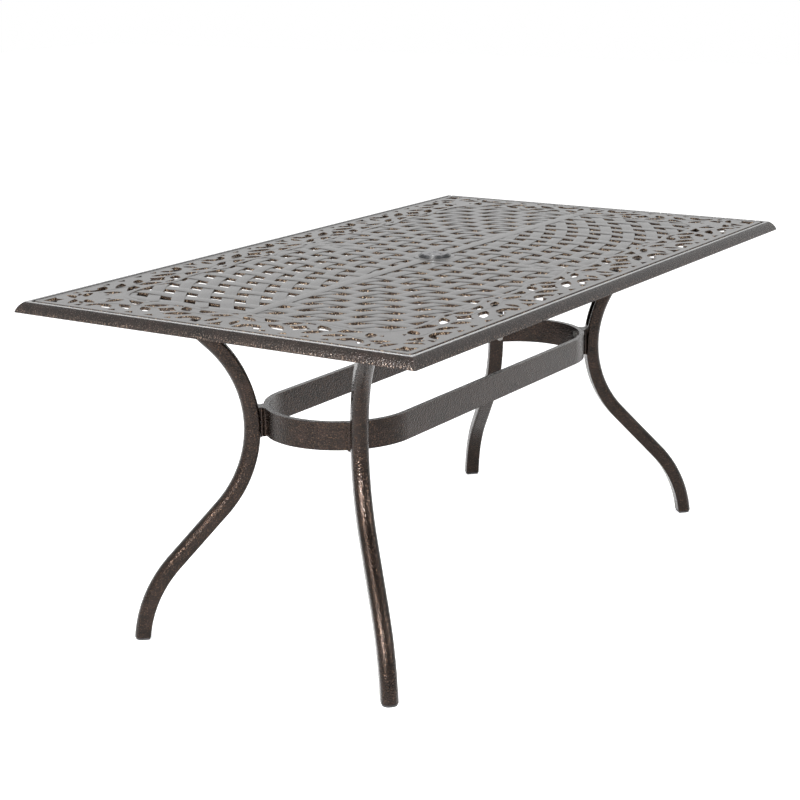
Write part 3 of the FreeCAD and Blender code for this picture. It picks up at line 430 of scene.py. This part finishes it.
def build_weave():
    verts, faces = [], []
    for column in range(-COLUMNS, COLUMNS + 1):
        side = 1 if column >= 0 else -1
        number = abs(column)
        path = [(side * strip_x(number, y), y) for y in steps(-UPRIGHT_REACH, UPRIGHT_REACH, STRIP_STEP)]
        for run in runs(path):
            ribbon(verts, faces, run, STRIP, partial(upright_top, column=number))
    add_mesh("upright_strips", verts, faces)

    verts, faces = [], []
    for row in range(1, ROWS + 1):
        width = FIRST_ROW_WIDTH if row == 1 else STRIP
        for side in (-1, 1):
            path = [(x, side * strip_y(row, x)) for x in steps(-BOWED_REACH, BOWED_REACH, STRIP_STEP)]
            for run in runs([point for point in path if side * point[1] > AT_SPINE]):
                ribbon(verts, faces, run, width, partial(bowed_top, row=row))
    add_mesh("bowed_strips", verts, faces)

    verts, faces = [], []
    path = [(x, 0.0) for x in steps(-SPINE_HALF, SPINE_HALF, SPINE_STEP)]
    ribbon(verts, faces, path, SPINE, partial(field_top, rise=RELIEF))
    for side in (-1, 1):
        for half in (-1, 1):
            path = [(half * 0.5 * strip_x(1, y), side * abs(y)) for y in steps(FAN_FROM, FAN_TO, SPINE_STEP)]
            ribbon(verts, faces, path, FAN, partial(field_top, rise=-FAN_DROP))
    add_mesh("spine_and_fans", verts, faces)


def lathe(profile, sides=96):
    """A ring with the closed profile of (radius, height) points."""
    verts, faces = [], []
    count = len(profile)
    for i in range(sides):
        angle = 2 * math.pi * i / sides
        for radius, height in profile:
            verts.append((radius * math.cos(angle), radius * math.sin(angle), height))
    for i in range(sides):
        a, b = i * count, (i + 1) % sides * count
        for k in range(count):
            after = (k + 1) % count
            faces.append((a + k, b + k, b + after, a + after))
    return verts, faces


# Border: openings laid out per repeat, as (distance along, distance in from the edge).
def leaf(x1, y1, x2, y2, width, bow=0.0):
    """A pointed leaf between two ends, with rounded tips."""
    length = math.hypot(x2 - x1, y2 - y1)
    ax, ay = (x2 - x1) / length, (y2 - y1) / length
    points = []
    for side in (1, -1):
        for step in range(9):
            part = step / 9 if side > 0 else 1 - step / 9
            off = math.sin(math.pi * part) ** 0.8 * (side * width / 2 + bow * length)
            points.append((x1 + ax * part * length - ay * off, y1 + ay * part * length + ax * off))
    return points


def arch(x, y, outer, inner, first, last, shift=(0.0, 0.0)):
    """A crescent round a scroll's end: the outer arc one way, the inner arc back."""
    points = []
    for radius, start, end, dx, dy in ((outer, first, last, 0.0, 0.0), (inner, last, first, *shift)):
        for step in range(13):
            angle = math.radians(start + (end - start) * step / 12)
            points.append((x + dx + radius * math.cos(angle), y + dy + radius * math.sin(angle)))
    return points


MIDDLE_OPENINGS = [
    [(0, 94), (-8, 84), (-25, 73), (-9, 63), (0, 52), (9, 63), (25, 73), (8, 84)],
    [(-15, 106), (15, 106), (0, 119)],
    [(-12, 18), (12, 18), (0, 29)],
]
# From the middle of a repeat towards the next repeat.
STAR_SIDE = [
    leaf(17, 109, 50, 82, 22, -0.05), [(65, 99), (80, 103), (106, 103), (97, 90), (84, 81), (72, 85)],
    leaf(107, 76, 151, 95, 19, -0.06), [(136, 104), (154, 104), (150, 115)],
    leaf(16, 41, 70, 67, 22, 0.05), arch(91, 24, 30, 13, -12, 176, (-3.0, 0.0)),
    leaf(130, 29, 138, 66, 15, -0.1), [(39, 18), (58, 18), (47, 29)],
]
STAR_OPENING = [(-18, 18), (18, 18), (7, 28), (0, 46), (-7, 28)]
# From the middle of a repeat towards a corner of the table.
CORNER_SIDE = [
    leaf(22, 107, 68, 81, 22, -0.08), [(80, 80), (83, 99), (104, 104), (128, 103), (112, 90), (98, 80)],
    leaf(139, 101, 161, 69, 22, 0.1), [(168, 90), (180, 89), (174, 98)],
    leaf(60, 68, 26, 42, 21, -0.05), leaf(118, 63, 73, 39, 19, -0.1),
    arch(144, 24, 31, 13, 0, 172, (5.0, 2.0)), [(41, 18), (63, 18), (52, 30)], [(87, 18), (108, 18), (98, 29)],
]
CORNER_MIDDLE = [(17, 17), (52, 17), (43, 30), (47, 45), (30, 43), (17, 52)]
CORNER_BLOCK = [
    leaf(85, 67, 122, 52, 17, -0.12), leaf(63, 58, 79, 20, 15, 0.12),
    [(98, 18), (111, 18), (107, 36)], leaf(86, 46, 101, 36, 9, 0.1),
]
# Raised ribbons that wind between the two rows of openings.
STAR_RIBBON = [(29, 74), (50, 75), (75, 76), (98, 74), (112, 69), (127, 72), (144, 79), (164, 86)]
CORNER_RIBBON = [(29, 74), (50, 74), (72, 74), (95, 72), (120, 68), (136, 63), (152, 62), (168, 64)]


def smooth(points, step=3.5):
    """Catmull-Rom path through the points."""
    out = []
    for i in range(len(points) - 1):
        p1, p2 = points[i], points[i + 1]
        p0 = points[i - 1] if i else (2 * p1[0] - p2[0], 2 * p1[1] - p2[1])
        p3 = points[i + 2] if i + 2 < len(points) else (2 * p2[0] - p1[0], 2 * p2[1] - p1[1])
        count = max(2, int(math.hypot(p2[0] - p1[0], p2[1] - p1[1]) / step))
        for k in range(count):
            t = k / count
            out.append(tuple(0.5 * (2 * b + (c - a) * t + (2 * a - 5 * b + 4 * c - d) * t * t
                                    + (3 * b - a - 3 * c + d) * t ** 3)
                             for a, b, c, d in zip(p0, p1, p2, p3)))
    out.append(points[-1])
    return out


def on_side(x, y, middle, way, stretch, side, across, swap):
    """Where a point of the border's layout lies on the panel, along a side of the table."""
    along, inwards = (middle + way * x) * stretch, side * (across - y)
    return (inwards, along) if swap else (along, inwards)


def in_corner(x, y, flip_x, flip_y):
    """Where a point of a corner block's layout lies on the panel."""
    return flip_x * (HALF_X - x), flip_y * (HALF_Y - y)


def repeats():
    """Every half repeat of the border: how it is laid on the panel and what it runs towards."""
    for along, across, number, swap in ((HALF_X, HALF_Y, 4, False), (HALF_Y, HALF_X, 2, True)):
        stretch = (along - CORNER_SIZE) / number / HALF_REPEAT
        for index in range(number):
            middle = (2 * index + 1 - number) * HALF_REPEAT
            for side in (-1, 1):
                for way in (-1, 1):
                    lay = partial(on_side, middle=middle, way=way, stretch=stretch, side=side, across=across,
                                  swap=swap)
                    at_corner = index == (0 if way < 0 else number - 1)
                    yield lay, way, at_corner


def border_outlines():
    """Every opening of the border as a loop of points on the panel."""
    out = []
    for lay, way, at_corner in repeats():
        shapes = list(CORNER_SIDE if at_corner else STAR_SIDE)
        if way > 0:
            shapes += MIDDLE_OPENINGS
            if not at_corner:
                shapes.append([(x + HALF_REPEAT, y) for x, y in STAR_OPENING])
        out += [[lay(x, y) for x, y in item] for item in shapes]
    corner_shapes = [CORNER_MIDDLE] + CORNER_BLOCK + [[(y, x) for x, y in item] for item in CORNER_BLOCK]
    for flip_x in (-1, 1):
        for flip_y in (-1, 1):
            out += [[in_corner(x, y, flip_x, flip_y) for x, y in item] for item in corner_shapes]
    return out


def rounded_loop(half_x, half_y, radius, step, inset=None):
    """Points round a rounded rectangle; inset(along) moves a side's points inwards."""
    points = []
    sides = [((-1, -1), (1, -1), half_x, 0), ((1, -1), (1, 1), half_y, 1),
             ((1, 1), (-1, 1), half_x, 0), ((-1, 1), (-1, -1), half_y, 1)]
    for (sx, sy), (ex, ey), half, axis in sides:
        reach = half - radius
        for t in steps(-reach, reach, step):
            push = inset(t) if inset else 0.0
            direction = ex - sx if axis == 0 else ey - sy
            along = t if direction > 0 else -t
            if axis == 0:
                points.append((along, sy * (half_y - push)))
            else:
                points.append((sx * (half_x - push), along))
        cx, cy = ex * (half_x - radius), ey * (half_y - radius)
        first = {(1, -1): -90, (1, 1): 0, (-1, 1): 90, (-1, -1): 180}[(ex, ey)]
        for k in range(1, 10):
            angle = math.radians(first + 9 * k)
            points.append((cx + radius * math.cos(angle), cy + radius * math.sin(angle)))
    return points


def filled_plate(name, loops, top, thick, bevel):
    """A flat plate from an outer loop and holes, with small rounded edges."""
    curve = bpy.data.curves.new(name + "_outline", "CURVE")
    curve.dimensions = "2D"
    curve.fill_mode = "BOTH"
    curve.extrude = (thick / 2 - bevel) * MM
    curve.bevel_depth = bevel * MM
    curve.bevel_resolution = 1
    curve.offset = -bevel * MM
    for loop in loops:
        spline = curve.splines.new("POLY")
        spline.points.add(len(loop) - 1)
        for point, (x, y) in zip(spline.points, loop):
            point.co = (x * MM, y * MM, 0, 1)
        spline.use_cyclic_u = True
    holder = bpy.data.objects.new(name + "_outline", curve)
    bpy.context.scene.collection.objects.link(holder)
    bpy.context.view_layer.update()
    mesh = bpy.data.meshes.new_from_object(holder.evaluated_get(bpy.context.evaluated_depsgraph_get()))
    bpy.data.objects.remove(holder)
    for vertex in mesh.vertices:
        x, y, z = vertex.co
        vertex.co.z = z + (top - thick / 2 + crown(x / MM, y / MM)) * MM
    return finish_piece(name, mesh, 30)


def border_top(x, y):
    return TOP + RELIEF + crown(x, y)


def scallop(along):
    """How much further in than BORDER_DEPTH the weave's edge lies."""
    return field_inset(along) - BORDER_DEPTH


def build_border():
    half_x, half_y = HALF_X - BORDER_DEPTH, HALF_Y - BORDER_DEPTH
    inner = rounded_loop(half_x, half_y, FIELD_CORNER, step=6.0, inset=scallop)
    outer = rounded_loop(HALF_X - PLATE_GAP, HALF_Y - PLATE_GAP, PLATE_CORNER, step=40.0)
    loops = [outer, inner] + border_outlines()
    filled_plate("scroll_border", loops, TOP - PLATE_DROP, PLATE_THICK, PLATE_BEVEL)

    verts, faces = [], []
    relief = partial(ribbon, verts, faces, top=border_top, foot=TOP - RELIEF_FOOT, cross=BEAD)
    for lay, _, at_corner in repeats():
        relief([lay(x, y) for x, y in smooth(CORNER_RIBBON if at_corner else STAR_RIBBON)], WINDING)
    inner = rounded_loop(half_x + INNER_GAP, half_y + INNER_GAP, INNER_CORNER, step=6.0, inset=scallop)
    relief(inner, INNER_WIDTH, closed=True)
    outer = rounded_loop(HALF_X - OUTER_GAP, HALF_Y - OUTER_GAP, OUTER_CORNER, step=30.0)
    relief(outer, OUTER_WIDTH, closed=True)
    add_mesh("border_relief", verts, faces)


build_weave()
build_border()
# The flat ring round the umbrella hole, as (radius, height) points. All of it takes the lighter top material, a
# painted highlight.
HUB = [(29.0, FOOT), (29.0, 732.9), (43.5, 732.9), (44.6, 732.4), (45.0, 731.4), (45.0, FOOT)]
hub = add_mesh("hub", *lathe(HUB))
for polygon in hub.data.polygons:
    polygon.material_index = 0
top_pieces = ["upright_strips", "bowed_strips", "spine_and_fans", "scroll_border", "border_relief", "hub"]
for name in top_pieces:
    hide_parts("near_panel", "far_panel")


# Floor, light and camera. The gloss lamps are stronger than the matt ones and leave out the tabletop, which would
# turn white with their glare from behind and from the end.
GLOSS_SHARE = 4.5
no_glare = bpy.data.collections.new("no_glare")
for name in top_pieces:
    no_glare.objects.link(bpy.data.objects[name])
for entry in no_glare.collection_objects:
    entry.light_linking.link_state = "EXCLUDE"


def place_lamp(name, data, location, target):
    """Two lamps in one place: matt light for everything, gloss for all but the flat tabletop."""
    gloss = data.copy()
    gloss.energy = GLOSS_SHARE * data.energy
    for part, light in (("matt", data), ("gloss", gloss)):
        lamp = bpy.data.objects.new(f"{name}_{part}", light)
        bpy.context.scene.collection.objects.link(lamp)
        lamp.location = location
        lamp.rotation_euler = (Vector(target) - Vector(location)).to_track_quat("-Z", "Y").to_euler()
        lamp.visible_diffuse = part == "matt"
        lamp.visible_glossy = part == "gloss"
        if part == "gloss":
            lamp.light_linking.receiver_collection = no_glare


def soft_light(name, location, target, size, power):
    """A rectangular lamp; size in metres, power in watts."""
    data = bpy.data.lights.new(name, "AREA")
    data.shape = "RECTANGLE"
    data.size, data.size_y = size
    data.energy = power
    place_lamp(name, data, location, target)


def spot_light(name, location, target, cone, power):
    """A soft-edged spot; cone in degrees, power in watts."""
    data = bpy.data.lights.new(name, "SPOT")
    data.spot_size = math.radians(cone)
    data.spot_blend = 1.0
    data.shadow_soft_size = 0.06
    data.energy = power
    place_lamp(name, data, location, target)


def white_floor():
    """Pale matt floor that glows a little where it is seen, so that it reads as white."""
    n = new_material("white_floor")
    n.shader.inputs["Base Color"].default_value = (*grey(0.86), 1)
    n.shader.inputs["Roughness"].default_value = 0.9
    strength = n.add("ShaderNodeMath", operation="MULTIPLY")
    n.link(n.seen(), strength.inputs[0])
    strength.inputs[1].default_value = 0.66
    glow = n.add("ShaderNodeEmission")
    n.link(strength.outputs[0], glow.inputs["Strength"])
    total = n.add("ShaderNodeAddShader")
    n.link(n.shader.outputs["BSDF"], total.inputs[0])
    n.link(glow.outputs[0], total.inputs[1])
    n.link(total.outputs[0], n.tree.nodes["Material Output"].inputs["Surface"])
    return n.owner


def white_surround():
    """White where it is seen, dimmer as light."""
    n = Nodes(bpy.data.worlds.new("studio"), "Background")
    span = n.add("ShaderNodeMapRange")
    span.inputs["To Min"].default_value = 0.55
    span.inputs["To Max"].default_value = 1.0
    n.link(n.seen(), span.inputs["Value"])
    n.link(span.outputs[0], n.shader.inputs["Strength"])
    n.shader.inputs["Color"].default_value = (1, 1, 1, 1)
    return n.owner


FLOOR_HALF, FLOOR_DROP = 14.0, 0.0005
floor_mesh = bpy.data.meshes.new("floor")
floor_mesh.from_pydata([(x * FLOOR_HALF, y * FLOOR_HALF, 0) for x, y in ((-1, -1), (1, -1), (1, 1), (-1, 1))],
                       [], [(0, 1, 2, 3)])
floor_mesh.materials.append(white_floor())
floor = bpy.data.objects.new("floor", floor_mesh)
floor.location.z = -FLOOR_DROP
bpy.context.scene.collection.objects.link(floor)
bpy.context.scene.world = white_surround()

soft_light("left_panel", (-3.2, 1.9, 1.3), (0, 0, 0.4), (1.0, 1.6), 35)
soft_light("key", (-3.4, -0.2, 2.6), (0, 0, 0.4), (0.7, 0.9), 105)
soft_light("near_lamp", (-2.4, -0.6, 1.25), (-0.5, -0.2, 0.5), (0.5, 0.6), 36)
spot_light("corner_spot", (-3.0, -1.2, 1.55), (-0.68, -0.42, 0.70), 26, 220)
soft_light("fill", (0.2, -3.6, 2.4), (0, 0, 0.4), (0.7, 0.9), 75)

# The camera as solved from the photograph: where it stands in metres, its angles in degrees, and its lens in
# millimetres on a sensor of that width.
CAMERA_AT = (-3.2085, -2.0361, 1.4374)
AZIMUTH, ELEVATION, ROLL = -56.377, 15.202, -0.868
LENS, SENSOR = 78.60, 36.0
azimuth, elevation, roll = (math.radians(angle) for angle in (AZIMUTH, ELEVATION, ROLL))
backward = Vector((math.sin(azimuth) * math.cos(elevation), -math.cos(azimuth) * math.cos(elevation),
                   math.sin(elevation)))
right = (-backward).cross(Vector((0, 0, 1))).normalized()
upward = backward.cross(right).normalized()
right, upward = (math.cos(roll) * right + math.sin(roll) * upward,
                 math.cos(roll) * upward - math.sin(roll) * right)
camera_data = bpy.data.cameras.new("camera")
camera_data.sensor_width = SENSOR
camera_data.lens = LENS
camera = bpy.data.objects.new("camera", camera_data)
turn = Matrix((right, upward, backward)).transposed()
camera.matrix_world = Matrix.Translation(CAMERA_AT) @ turn.to_4x4()
scene = bpy.context.scene
scene.view_settings.view_transform = "Standard"
scene.collection.objects.link(camera)
scene.camera = camera
